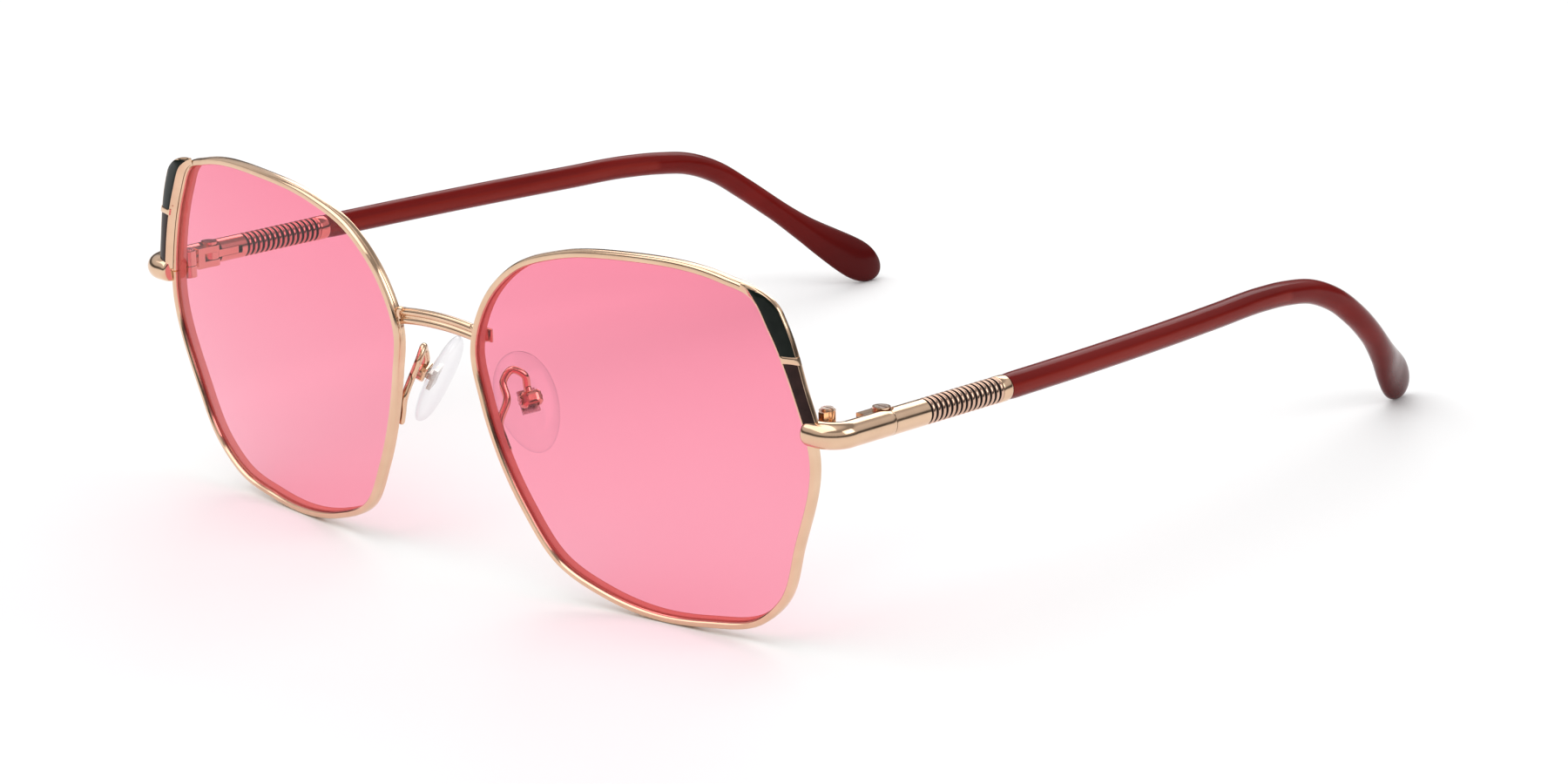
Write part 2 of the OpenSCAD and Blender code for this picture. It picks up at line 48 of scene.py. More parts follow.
# Millimetres, with WRAP, LEAN and TEMPLE_DROP in degrees. Names that end in _S are places along
# OUTLINE, counted in its points. All repeat the CAD's, apart from POCKET_DEPTH and POCKET_TOP_S.
MM = 0.001
FRONT_Y = -77.65
LENS_W, LENS_H, BRIDGE_W = 57.0, 51.5, 17.5
LENS_CURVE, LENS_T = 195.0, 1.6
WRAP, LEAN = 6.5, 4.0
WIRE_W, PLATE_W, RIM_BACK = 1.05, 3.1, 1.15
LENS_FRONT, BEVEL_OUT, BEVEL_BACK = 0.2, 0.32, 0.45
HINGE = Vector((69.0, 16.75, 32.35))
TEMPLE_DROP = 2.2
AXIS_X = 1.0
FERRULE_R, TEMPLE_R = 1.85, 1.88
LENS_C = Vector((BRIDGE_W / 2 + LENS_W / 2 - 0.55, 1.5, 28.39))
SPLIT_S = 0.46
DIVIDER_S = (1.5, 1.6)
PLATE_S = (0.5, 3.4)
PLATE_FRONT, PLATE_INNER, PLATE_SWELL, PLATE_END_W = -1.4, 1.15, 0.75, 1.3
PLATE_BACK, POCKET_DEPTH = -0.46, 0.14
POCKET_INNER, POCKET_TOP_S, SLANT = 1.2, 3.14, 0.04
KNUCKLE_R = 1.6
ARM_R = 0.55
PAD_W, PAD_L = 9.0, 15.0
PAD_AXIS_X = 2.75

OUTLINE = [Vector((u * LENS_W / 57.5, v * LENS_H / 51.5)) for u, v in (
    (29, 0), (27, 9), (23.5, 17.5), (21, 21.5), (16.5, 23), (0, 24), (-11.5, 22.5), (-19.5, 19.5),
    (-26, 13), (-28.5, 6), (-27.5, 0), (-21.5, -15.5), (-16.5, -22.5), (-8.5, -26), (0, -27.5),
    (9, -27), (18, -25), (22, -21.5), (25.5, -13))]
SPANS = len(OUTLINE)

TEMPLE_PATH = [Vector(p) for p in (
    (1, 24.09, 0), (0.4, 43, 0), (-0.7, 62, 0), (-1.8, 75, 0), (-2.9, 87, 0), (-3.6, 94.5, -0.5),
    (-4, 101, -1.5), (-4.3, 107.5, -3.9), (-4.8, 114, -7.8), (-6, 120, -12), (-8.2, 126.5, -16.9),
    (-10.4, 131.5, -20.5), (-12.1, 136, -23.5), (-13, 140, -25.9))]


# ---- curves -------------------------------------------------------------------------------

def hermite(a, ta, b, tb, t):
    return ((2 * t ** 3 - 3 * t * t + 1) * a + (t ** 3 - 2 * t * t + t) * ta
            + (-2 * t ** 3 + 3 * t * t) * b + (t ** 3 - t * t) * tb)


def weighted(p0, p1, p2):
    """Tangent at p1, weighted by the chords on its two sides."""
    a, b = (p1 - p0).length, (p2 - p1).length
    return ((p1 - p0) * b / a + (p2 - p1) * a / b) / (a + b)


def loop_point(pts, s):
    """Point at place s of a smooth closed curve through pts."""
    n = len(pts)
    s %= n
    i = int(s)
    k = [pts[(i + j) % n] for j in (-1, 0, 1, 2)]
    size = (k[2] - k[1]).length
    return hermite(k[1], weighted(*k[:3]) * size, k[2], weighted(*k[1:]) * size, s - i)


def path_tangent(pts, i):
    if i == 0:
        return (pts[1] - pts[0]).normalized()
    if i == len(pts) - 1:
        return (pts[i] - pts[i - 1]).normalized()
    return weighted(pts[i - 1], pts[i], pts[i + 1])


def path_point(pts, s):
    """Point at place s of a smooth open curve through pts."""
    i = min(int(s), len(pts) - 2)
    size = (pts[i + 1] - pts[i]).length
    return hermite(pts[i], path_tangent(pts, i) * size, pts[i + 1], path_tangent(pts, i + 1) * size, s - i)


def path_direction(pts, s):
    end = len(pts) - 1
    return (path_point(pts, min(s + 0.02, end)) - path_point(pts, max(s - 0.02, 0))).normalized()


def ease(a, b, s):
    """0 up to a, 1 from b on, and a smooth rise between them."""
    t = max(0.0, min(1.0, (s - a) / (b - a)))
    return t * t * (3 - 2 * t)


def spread(a, b, count):
    """count evenly spaced numbers from a to b."""
    return [a + (b - a) * k / (count - 1) for k in range(count)]


# ---- places -------------------------------------------------------------------------------

def turn(axis, deg):
    return Matrix.Rotation(math.radians(deg), 4, axis)


FRONT_M = Matrix.Translation((0, FRONT_Y, 0))
LENS_M = FRONT_M @ Matrix.Translation(LENS_C) @ turn("Z", WRAP) @ turn("X", LEAN)
HINGE_M = FRONT_M @ Matrix.Translation(HINGE) @ turn("X", -TEMPLE_DROP)
PAD_M = (FRONT_M @ Matrix.Translation((9.2, 8.7, 25.5)) @ turn("Z", -30) @ turn("Y", -28) @ turn("X", 8))


def sag(u, v):
    """How far the lens face curves back at (u, v)."""
    return LENS_CURVE - math.sqrt(LENS_CURVE ** 2 - u * u - v * v)


def rim_point(s, out, back):
    """Point in the lens frame, out from the outline at place s and back from the lens face."""
    p = loop_point(OUTLINE, s)
    t = (loop_point(OUTLINE, s + 0.01) - loop_point(OUTLINE, s - 0.01)).normalized()
    q = p + out * Vector((t.y, -t.x))
    return Vector((q.x, sag(q.x, q.y) + back, q.y))


# ---- meshes -------------------------------------------------------------------------------

def skin(rings, values=None, name="value", wrap=False):
    """Closed mesh through rings of points in mm. A ring of one point closes an end to a tip.

    With wrap, the last ring joins the first. values gives each point a number, kept under name.
    """
    bm = bmesh.new()
    layer = bm.verts.layers.float.new(name) if values else None
    rows = []
    for k, ring in enumerate(rings):
        row = [bm.verts.new(p) for p in ring]
        if values:
            for j, v in enumerate(row):
                v[layer] = values[k][j]
        rows.append(row)
    ends = [] if wrap else [rows[0], rows[-1]]
    if wrap:
        rows.append(rows[0])
    for a, b in zip(rows, rows[1:]):
        m = max(len(a), len(b))
        for j in range(m):
            i = (j + 1) % m
            if len(a) == 1:
                bm.faces.new((a[0], b[i], b[j]))
            elif len(b) == 1:
                bm.faces.new((a[j], a[i], b[0]))
            else:
                bm.faces.new((a[j], a[i], b[i], b[j]))
    for row in ends:
        if len(row) > 2:
            bm.faces.new(row)
    bmesh.ops.recalc_face_normals(bm, faces=bm.faces)
    mesh = bpy.data.meshes.new("piece")
    bm.to_mesh(mesh)
    bm.free()
    return mesh


def tube(points, radii, sides=24, reference=Vector((1, 0, 0)), squeeze=None):
    """Round bar through points, with a radius at each; a radius of 0 ends it in a tip."""
    rings = []
    for k, p in enumerate(points):
        a, b = points[max(k - 1, 0)], points[min(k + 1, len(points) - 1)]
        d = (b - a).normalized()
        if radii[k] == 0:
            rings.append([p])
            continue
        side = d.cross(reference).normalized()
        up = side.cross(d)
        ring = []
        for j in range(sides):
            w = 2 * math.pi * j / sides
            o = radii[k] * (math.cos(w) * side + math.sin(w) * up)
            ring.append(p + (squeeze(k, o) if squeeze else o))
        rings.append(ring)
    return skin(rings)


def lathe(profile, sides=96, values=None):
    """Turned ring about the ferrule's axis, from a closed loop of (radius, y) in the hinge frame."""
    angles = [2 * math.pi * j / sides for j in range(sides)]
    rings = [[Vector((AXIS_X + r * math.cos(w), y, r * math.sin(w))) for w in angles] for r, y in profile]
    return skin(rings, [[v] * sides for v in values] if values else None, wrap=True)


def block(lo, hi, bevel=0.0):
    bm = bmesh.new()
    bmesh.ops.create_cube(bm, size=1)
    lo, hi = Vector(lo), Vector(hi)
    size = hi - lo
    bmesh.ops.scale(bm, vec=size, verts=bm.verts)
    bmesh.ops.translate(bm, vec=(lo + hi) / 2, verts=bm.verts)
    if bevel:
        bmesh.ops.bevel(bm, geom=bm.edges[:], offset=bevel, segments=3, profile=0.6, affect="EDGES")
    mesh = bpy.data.meshes.new("block")
    bm.to_mesh(mesh)
    bm.free()
    return mesh


def round_bar(r, z0, z1, sides=64):
    """Upright bar about the hinge's axis."""
    angles = [2 * math.pi * j / sides for j in range(sides)]
    return skin([[Vector((r * math.cos(w), r * math.sin(w), z)) for w in angles] for z in (z0, z1)])


def join(*meshes):
    bm = bmesh.new()
    for m in meshes:
        bm.from_mesh(m)
    mesh = bpy.data.meshes.new("joined")
    bm.to_mesh(mesh)
    bm.free()
    return mesh


def cut(mesh, *cutters):
    """mesh less each (mesh, matrix) of the cutters."""
    host = bpy.data.objects.new("host", mesh)
    bpy.context.scene.collection.objects.link(host)
    made = []
    for m, matrix in cutters:
        tool = bpy.data.objects.new("tool", m)
        tool.matrix_world = matrix
        bpy.context.scene.collection.objects.link(tool)
        mod = host.modifiers.new("cut", "BOOLEAN")
        mod.operation, mod.solver, mod.object = "DIFFERENCE", "EXACT", tool
        made.append(tool)
    bpy.context.view_layer.update()
    result = bpy.data.meshes.new_from_object(host.evaluated_get(bpy.context.evaluated_depsgraph_get()))
    for o in [host, *made]:
        bpy.data.objects.remove(o)
    return result


def put(name, mesh, matrix, material, body, nodes=(), sharp=40, sides=("left", "right")):
    """The left piece from a mesh in mm in a local frame, and its mirror image on the right."""
    to_metres = Matrix.Scale(MM, 4)
    made = []
    for side in sides:
        m = mesh.copy()
        m.transform(to_metres @ matrix)
        if side == "right":
            m.transform(Matrix.Scale(-1, 4, (1, 0, 0)))
            m.flip_normals()
        m.shade_smooth()
        m.set_sharp_from_angle(angle=math.radians(sharp))
        m.materials.clear()
        m.materials.append(material)
        full = f"{side}_{name}" if len(sides) > 1 else name
        o = bpy.data.objects.new(full + "_look", m)
        bpy.context.scene.collection.objects.link(o)
        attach(o, body.format(side=side))
        if nodes:
            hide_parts(*[n.format(side=side) for n in nodes])
        made.append(o)
    return made


# ---- materials ----------------------------------------------------------------------------

class Nodes:
    """Short way to write a material's nodes."""

    def __init__(self, name):
        self.mat = bpy.data.materials.new(name)
        self.mat.use_nodes = True
        self.nt = self.mat.node_tree
        self.nt.nodes.clear()
        self.out = self.nt.nodes.new("ShaderNodeOutputMaterial")

    def add(self, kind, _settings=None, **inputs):
        n = self.nt.nodes.new("ShaderNode" + kind)
        for k, v in (_settings or {}).items():
            setattr(n, k, v)
        for k, v in inputs.items():
            self.set(n, k.replace("_", " "), v)
        return n

    def set(self, n, key, v):
        socket = n.inputs[key] if not key.isdigit() else n.inputs[int(key)]
        if isinstance(v, bpy.types.NodeSocket):
            self.nt.links.new(v, socket)
        else:
            socket.default_value = v

    def noise(self, scale, detail=3.0, stretch=(1, 1, 1)):
        coord = self.add("TexCoord")
        m = self.add("Mapping", Vector=coord.outputs["Object"], Scale=stretch)
        return self.add("TexNoise", Vector=m.outputs[0], Scale=scale, Detail=detail).outputs["Fac"]

    def ramp(self, fac, *stops):
        n = self.add("ValToRGB", Fac=fac)
        e = n.color_ramp.elements
        while len(e) < len(stops):
            e.new(0.5)
        for x, (pos, c) in zip(e, stops):
            x.position = pos
            x.color = (*c, 1) if len(c) == 3 else c
        return n.outputs["Color"]

    def level(self, fac, a, b):
        """A number from a, where fac is 0.3, to b, where it is 0.7."""
        n = self.add("MapRange", Value=fac)
        for k, v in zip(("From Min", "From Max", "To Min", "To Max"), (0.3, 0.7, a, b)):
            n.inputs[k].default_value = v
        return n.outputs["Result"]

    def bump(self, height, distance, strength=1.0):
        return self.add("Bump", Height=height, Distance=distance, Strength=strength).outputs[0]

    def between(self, fac, a, b):
        """A number from a, where fac is 0, to b, where it is 1."""
        n = self.add("MapRange", Value=fac)
        n.inputs["To Min"].default_value = a
        n.inputs["To Max"].default_value = b
        return n.outputs["Result"]

    def mix(self, fac, a, b):
        """Colour from a, where fac is 0, to b, where it is 1."""
        n = self.add("Mix", {"data_type": "RGBA"})
        self.set(n, "0", fac)
        self.set(n, "6", a)
        self.set(n, "7", b)
        return n.outputs[2]

    def blend(self, fac, a, b):
        """Shader a, where fac is 0, to shader b, where it is 1."""
        n = self.add("MixShader")
        self.set(n, "0", fac)
        self.set(n, "1", a.outputs[0])
        self.set(n, "2", b.outputs[0])
        return n

    def attribute(self, name):
        return self.add("Attribute", {"attribute_name": name}).outputs["Fac"]

    def surface(self, shader):
        self.nt.links.new(shader.outputs[0], self.out.inputs["Surface"])
        return self.mat


def metal(name, low, high, rough=(0.10, 0.17), grain=900.0, dark=None):
    """Plated metal with soft colour variation, faint polishing marks and roughness that wanders.

    dark is the colour of painted shade in the grooves, where the mesh's value is 1; there the metal also
    turns rough and not metallic.
    """
    n = Nodes(name)
    broad = n.noise(260.0, 2.0)
    fine = n.noise(grain, 4.0, (1, 0.25, 1))
    colour = n.ramp(broad, (0.3, low), (0.7, high))
    roughness = n.level(fine, *rough)
    metallic = 1.0
    if dark:
        # Painted shade: the grooves turn near-black, rough and not metallic under any light.
        groove_shade_mask = n.attribute("value")
        colour = n.mix(groove_shade_mask, colour, (*dark, 1))
        roughness = n.between(groove_shade_mask, rough[0], 0.55)
        metallic = n.between(groove_shade_mask, 1.0, 0.0)
    p = n.add("BsdfPrincipled", Base_Color=colour, Roughness=roughness, Metallic=metallic,
              Normal=n.bump(fine, 0.000004, 0.35))
    return n.surface(p)


def enamel(name, low, high):
    """Hard glossy enamel with a slightly wavy fired surface."""
    n = Nodes(name)
    cloud = n.noise(700.0, 3.0)
    p = n.add("BsdfPrincipled", Base_Color=n.ramp(cloud, (0.3, low), (0.7, high)),
              Roughness=n.level(cloud, 0.14, 0.22), Normal=n.bump(n.noise(420.0, 1.0), 0.00001, 0.3))
    p.inputs["Specular IOR Level"].default_value = 0.13
    return n.surface(p)


def acetate():
    """Dark red acetate: streaks along the temple, and the faint band of the core wire inside."""
    n = Nodes("red_acetate")
    streak = n.noise(300.0, 4.0, (1, 0.06, 1))
    cloud = n.noise(60.0, 2.0)
    base = n.ramp(streak, (0.3, (0.125, 0.006, 0.005)), (0.7, (0.175, 0.010, 0.008)))
    body = n.mix(n.level(cloud, 0.0, 0.6), base, (0.20, 0.012, 0.010, 1))
    body = n.mix(n.attribute("tip"), body, (0.085, 0.006, 0.006, 1))
    core = n.ramp(streak, (0.3, (0.20, 0.016, 0.012)), (0.7, (0.26, 0.026, 0.019)))
    colour = n.mix(n.attribute("core"), body, core)
    p = n.add("BsdfPrincipled", Base_Color=colour, Roughness=n.level(streak, 0.12, 0.17),
              Normal=n.bump(n.noise(500.0, 2.0), 0.000005, 0.25))
    p.inputs["Specular IOR Level"].default_value = 0.08
    p.inputs["Subsurface Weight"].default_value = 0.1
    p.inputs["Subsurface Radius"].default_value = (1.0, 0.2, 0.15)
    p.inputs["Subsurface Scale"].default_value = 0.0012
    return n.surface(p)


def front_gloss(n, clear, ior, rough):
    """Mixes a clear shader with a mirror gloss by Fresnel, on faces seen from outside only."""
    gloss = n.add("BsdfGlossy", Color=(1, 1, 1, 1), Roughness=rough)
    outside = n.add("Math", {"operation": "SUBTRACT"})
    outside.inputs[0].default_value = 1.0
    n.nt.links.new(n.add("NewGeometry").outputs["Backfacing"], outside.inputs[1])
    share = n.add("Math", {"operation": "MULTIPLY"})
    n.nt.links.new(n.add("Fresnel", IOR=ior).outputs[0], share.inputs[0])
    n.nt.links.new(outside.outputs[0], share.inputs[1])
    return n.surface(n.blend(share.outputs[0], clear, gloss))


def tinted_lens():
    """Tinted clear lens, a touch lighter towards the bottom. Its ground edge is matt and salmon: partly its
    own frosting, partly painted reflection of the lit gold rim behind it.
    """
    n = Nodes("tinted_lens")
    where = n.add("SeparateXYZ", Vector=n.add("TexCoord").outputs["Object"])
    height = n.add("MapRange", Value=where.outputs["Z"])
    height.inputs["From Min"].default_value = 0.0
    height.inputs["From Max"].default_value = 0.053
    cloud = n.noise(40.0, 1.0)
    low = n.ramp(cloud, (0.3, (0.982, 0.637, 0.717)), (0.7, (0.982, 0.643, 0.723)))
    tint = n.mix(height.outputs["Result"], low, (0.955, 0.510, 0.607, 1))
    # Salmon on the ground edge: the edge's own frosting plus painted reflection of the lit gold rim wall,
    # which also paints over the shade in the rim's groove.
    edge = n.ramp(cloud, (0.3, (0.72, 0.26, 0.20)), (0.7, (0.76, 0.28, 0.22)))
    tint = n.mix(n.attribute("edge"), tint, edge)
    frosted_edge_and_painted_rim = n.add("BsdfDiffuse", Color=edge, Roughness=0.5)
    share = n.level(n.attribute("edge"), 0.0, 0.85)
    return front_gloss(n, n.blend(share, n.add("BsdfTransparent", Color=tint), frosted_edge_and_painted_rim), 1.33, 0.02)


def silicone():
    """Clear silicone: water clear, greyer where the line of sight grazes it, with a soft gloss."""
    n = Nodes("clear_silicone")
    weight = n.add("LayerWeight", Blend=0.22)
    cloud = n.noise(500.0, 2.0)
    water = n.ramp(cloud, (0.3, (0.985, 0.98, 0.985)), (0.7, (0.997, 0.993, 0.997)))
    colour = n.mix(weight.outputs["Facing"], water, (0.78, 0.77, 0.79, 1))
    return front_gloss(n, n.add("BsdfTransparent", Color=colour), 1.36, 0.06)


def nylon():
    """Off-white moulded nylon."""
    n = Nodes("nylon")
    cloud = n.noise(1200.0, 3.0)
    colour = n.ramp(cloud, (0.3, (0.78, 0.77, 0.74)), (0.7, (0.86, 0.86, 0.83)))
    p = n.add("BsdfPrincipled", Base_Color=colour, Roughness=n.level(cloud, 0.4, 0.55),
              Normal=n.bump(cloud, 0.00001, 0.3))
    return n.surface(p)


GOLD = metal("rose_gold", (0.74, 0.50, 0.34), (0.80, 0.56, 0.39))
# RIBBED paints shade into the sleeve's grooves.
RIBBED = metal("ribbed_metal", (0.66, 0.42, 0.31), (0.74, 0.49, 0.37), dark=(0.012, 0.005, 0.004))
SCREW = metal("screw_steel", (0.66, 0.52, 0.44), (0.76, 0.62, 0.53), (0.16, 0.28), 1500.0)
SPRING = metal("spring_steel", (0.55, 0.52, 0.48), (0.66, 0.63, 0.60), (0.2, 0.34), 1500.0)
BLACK = enamel("black_enamel", (0.004, 0.007, 0.005), (0.008, 0.012, 0.009))
BROWN = enamel("brown_enamel", (0.021, 0.008, 0.007), (0.034, 0.014, 0.012))
ACETATE = acetate()
LENS = tinted_lens()
SILICONE = silicone()
NYLON = nylon()


# ---- front --------------------------------------------------------------------------------

def rim_strip(s0, s1, count, section):
    """Strip that follows the rim, through (out, back) points."""
    return skin([[rim_point(s, *p) for p in section] for s in spread(s0, s1, count)])


W = WIRE_W
RIM_SECTION = [
    (0.42, 0.45), (0, 0.72), (0, 0.95), (0.06, 1.08), (0.2, 1.15), (W - 0.2, 1.12), (W - 0.05, 1.02),
    (W, 0.85), (W, 0.36), (W - 0.09, 0.29), (W - 0.09, 0.22), (W, 0.15), (W, 0.02), (W - 0.05, -0.18),
    (W - 0.18, -0.35), (W / 2, -0.42), (0.18, -0.35), (0.05, -0.18), (0, -0.02), (0, 0.18)]
put("rim", rim_strip(SPLIT_S + 0.012, SPLIT_S + SPANS - 0.012, SPANS * 14 + 1, RIM_SECTION), LENS_M, GOLD,
    "front", ["{side}_rim"], 32)


def lens_mesh():
    """Curved lens with a bevel that sits in the rim; edge is 1 on its ground edge."""
    count = SPANS * 12
    stations = [SPLIT_S + SPANS * i / count for i in range(count)]

    def face(part, back):
        if part == 0:
            return [Vector((0, back, 0))]
        pts = [loop_point(OUTLINE, s) * part for s in stations]
        return [Vector((p.x, sag(p.x, p.y) + back, p.y)) for p in pts]

    parts = (0, 0.12, 0.3, 0.5, 0.7, 0.85, 0.95)
    rear = LENS_FRONT + LENS_T
    rings = [face(k, LENS_FRONT) for k in parts]
    edge = [0.0] * len(rings)
    for out, back, value in ((-0.06, LENS_FRONT, 0), (BEVEL_OUT, BEVEL_BACK, 1), (-0.06, 0.7, 1),
                             (-0.06, rear - 0.06, 1), (-0.1, rear, 1), (-0.13, rear, 0)):
        rings.append([rim_point(s, out, back) for s in stations])
        edge.append(float(value))
    rings += [face(k, rear) for k in parts[::-1]]
    edge += [0.0] * len(parts)
    return skin(rings, values=[[v] * count for v in edge], name="edge")


put("lens", lens_mesh(), LENS_M, LENS, "front", ["{side}_lens"], 30)


# Corner plate: a gold plate along the rim, with enamel on both sides of a raised, level divider.

def plate_edge(s):
    """How far out the plate reaches."""
    return (PLATE_W + PLATE_SWELL * ease(0.9, 2.1, s)
            - (PLATE_W + PLATE_SWELL - PLATE_END_W) * ease(2.3, 3.5, s))


def plate_face(s):
    """How far back the plate's face lies; it thins towards its top."""
    return PLATE_FRONT + 0.8 * ease(2.8, PLATE_S[1], s)


def plate_section(s):
    e, f = plate_edge(s), plate_face(s)
    d = PLATE_BACK - f
    floor_y = f + POCKET_DEPTH * (1 - ease(POCKET_TOP_S - 0.1, POCKET_TOP_S + 0.02, s))
    inner, outer = POCKET_INNER, max(pocket_edge(s + SLANT * 2), POCKET_INNER + 0.05)
    return [(e - 0.3 * d, PLATE_BACK), (e - 0.06 * d, PLATE_BACK - 0.2 * d), (e, PLATE_BACK - 0.5 * d),
            (e - 0.01 * d, f + 0.25 * d),
            (e - 0.05 * d, f + 0.06 * d), (e - 0.12 * d, f), (outer + 0.02, f + 0.01), (outer, floor_y),
            (inner, floor_y), (inner - 0.02, f + 0.01), (PLATE_INNER + 0.01, f),
            (PLATE_INNER - 0.03, f + 0.04 * d), (PLATE_INNER - 0.08, f + 0.14 * d), (0.85, f + 0.5 * d),
            (0.35, PLATE_BACK + 0.02)]


def pocket_edge(s):
    """How far out the pocket reaches, with a rounded end at its top."""
    full = plate_edge(s - 0.1) - 0.16
    t = max(0.0, min(1.0, 1 - (POCKET_TOP_S + 0.01 - s) / 0.3))
    return POCKET_INNER + (full - POCKET_INNER) * math.sqrt(max(0.001, 1 - t * t))


def slanted(s, section):
    """Ring through (out, back) points that leans over, so that the divider lies level."""
    return [rim_point(s - SLANT * (p[0] - PLATE_INNER), *p) for p in section]


def enamel_section(s):
    a, b, f = POCKET_INNER + 0.005, pocket_edge(s) - 0.005, plate_face(s)
    w = b - a
    return [(a, f + 0.4), (b, f + 0.4), (b, f + 0.03), (b - 0.06 * w, f - 0.025), (b - 0.25 * w, f - 0.06),
            (a + 0.5 * w, f - 0.075), (a + 0.25 * w, f - 0.06), (a + 0.06 * w, f - 0.02), (a, f + 0.03)]


def inlay(s0, s1, count):
    """Enamel from place s0 to s1 of the pocket, domed a little proud of the plate."""
    return skin([slanted(s, enamel_section(s)) for s in spread(s0, s1, count)])


def divider():
    """Raised band across the plate, which laps a little over both of its edges."""
    rings = []
    for k, s in enumerate(spread(DIVIDER_S[0] - 0.006, DIVIDER_S[1] + 0.006, 7)):
        rise = 0.16 * math.sqrt(max(0.05, 1 - abs(k / 3 - 1) ** 2.5))
        e, f = plate_edge(s) + 0.05, plate_face(s)
        section = [(PLATE_INNER - 0.22, f + 0.5), (e, f + 0.5), (e, f), (e - 0.12, f - 0.8 * rise),
                   (e - 0.5, f - rise), (PLATE_INNER + 0.4, f - rise), (PLATE_INNER + 0.02, f - 0.8 * rise),
                   (PLATE_INNER - 0.14, f)]
        rings.append(slanted(s, section))
    return skin(rings)


def ball(centre, r, rows=10, cols=20):
    """Head of the small pin beside the divider."""
    rings = []
    for i in range(rows + 1):
        a = math.pi * i / rows
        if i in (0, rows):
            rings.append([centre + Vector((0, 0, r * math.cos(a)))])
            continue
        rings.append([centre + r * Vector((math.sin(a) * math.cos(w), math.sin(a) * math.sin(w), math.cos(a)))
                      for w in (2 * math.pi * j / cols for j in range(cols))])
    return skin(rings)


plate = skin([[rim_point(s, *p) for p in plate_section(s)] for s in spread(*PLATE_S, 90)])
put("corner_plate", join(plate, divider(), ball(rim_point(1.68, 1.0, -1.02), 0.2)), LENS_M, GOLD, "front",
    ["{side}_corner_plate"], 38)
put("upper_enamel", inlay(DIVIDER_S[1] + 0.004, POCKET_TOP_S, 60), LENS_M, BLACK, "front",
    ["{side}_upper_enamel"], 50)
put("lower_enamel", inlay(0.5, DIVIDER_S[0] - 0.004, 30), LENS_M, BROWN, "front",
    ["{side}_lower_enamel"], 50)


def bridge_mesh():
    """Two round ribs, arched across the nose, with a tab and a curled end against each rim."""
    lobe, middle = 0.62, 0.59
    angles = [math.radians(w) for w in spread(-52, 232, 21)]
    section = [(-lobe * math.cos(a), middle + lobe * math.sin(a)) for a in angles]
    section += [(y, -z) for y, z in section[::-1]]
    rings = [[Vector((x, 1.15 + y, 37 + 0.5 * (1 - (x / 7.5) ** 2) + z)) for y, z in section]
             for x in spread(-7.5, 7.5, 49)]
    parts = [skin(rings)]
    for side in (1, -1):
        for lo, hi in (((6.8, 1.6, 35.7), (8.3, 2.8, 37.7)), ((6.8, 2.35, 35.7), (9.2, 2.8, 37.7))):
            x = sorted((lo[0] * side, hi[0] * side))
            parts.append(block((x[0], lo[1], lo[2]), (x[1], hi[1], hi[2]), 0.22))
        curl = [Vector((x * side, y, z)) for x, y, z in (
            (7.1, 0.75, 38.05), (7.6, 0.55, 38.1), (7.9, 0.5, 37.7), (7.95, 0.55, 37.1), (7.9, 0.75, 36.6))]
        pts = [path_point(curl, t) for t in spread(0, 4, 33)]
        parts.append(tube(pts, [0, 0.25, *[0.4] * 29, 0.25, 0], 16, Vector((0, 1, 0))))
    return join(*parts)


put("bridge", bridge_mesh(), FRONT_M, GOLD, "front", ["bridge"], 40, ("left",))


# ---- end piece and ferrule ----------------------------------------------------------------

def end_bar():
    """Round bar from the butt, forward, round the elbow and inward to a rounded nose."""
    butt, bend_r, bend_y = 0.1, 2.8, -7.6
    bend_x = AXIS_X - bend_r
    pts = [Vector((AXIS_X, y, 0)) for y in (butt, butt - 0.05, *spread(butt - 0.1, bend_y + 0.4, 12))]
    radii = [FERRULE_R - 0.06, FERRULE_R - 0.02, *[FERRULE_R] * 12]
    for w in spread(0, 90, 25):
        a = math.radians(w)
        pts.append(Vector((bend_x + bend_r * math.cos(a), bend_y - bend_r * math.sin(a), 0)))
        radii.append(FERRULE_R)
    end = Vector((bend_x, bend_y - bend_r, 0))
    for x, less in ((0.7, 0), (1.2, 0), (1.45, 0.03), (1.7, 0.1), (1.86, 0.22), (1.96, 0.38), (2.02, 0.6),
                    (2.04, 1.0), (2.05, FERRULE_R)):
        pts.append(end - Vector((x, 0, 0)))
        radii.append(FERRULE_R - less)
    return tube(pts, radii, 64, Vector((0, 0, 1)))


rim_y = sag(29, 4)
rim_room = block((15, rim_y - 0.5, -5), (30.3, rim_y + 8.5, 10))
leaf_room = block((-4, -3.4, -3), (0.2, 6.6, 3))
knuckle_room = round_bar(KNUCKLE_R + 0.04, -3, 3)
end_mesh = cut(end_bar(), (rim_room, HINGE_M.inverted() @ LENS_M), (leaf_room, Matrix()),
               (knuckle_room, Matrix()))
put("end_piece", end_mesh, HINGE_M, GOLD, "front", ["{side}_end_piece"], 35)

ferrule = lathe([(1.12, 3.1), (1.12, 20.2), (0.67, 20.2), (0.67, 23.9), (1.36, 23.9), (1.36, 7.05),
                 (FERRULE_R - 0.08, 7.05), (FERRULE_R, 6.97), (FERRULE_R, 0.24), (FERRULE_R - 0.06, 0.18),
                 (0.02, 0.18), (0.02, 3.1)])
tongue_room = block((-2, -0.5, -0.6), (1.5, 5.9, 0.6))
heel_room = block((-2, -0.5, -3), (0.5, 1.92, 3))
knuckle_room = round_bar(KNUCKLE_R + 0.06, -3, 3)
ferrule = cut(ferrule, (tongue_room, Matrix()), (heel_room, Matrix()), (knuckle_room, Matrix()))
put("ferrule", ferrule, HINGE_M, GOLD, "{side}_temple", ["{side}_ferrule"], 35)


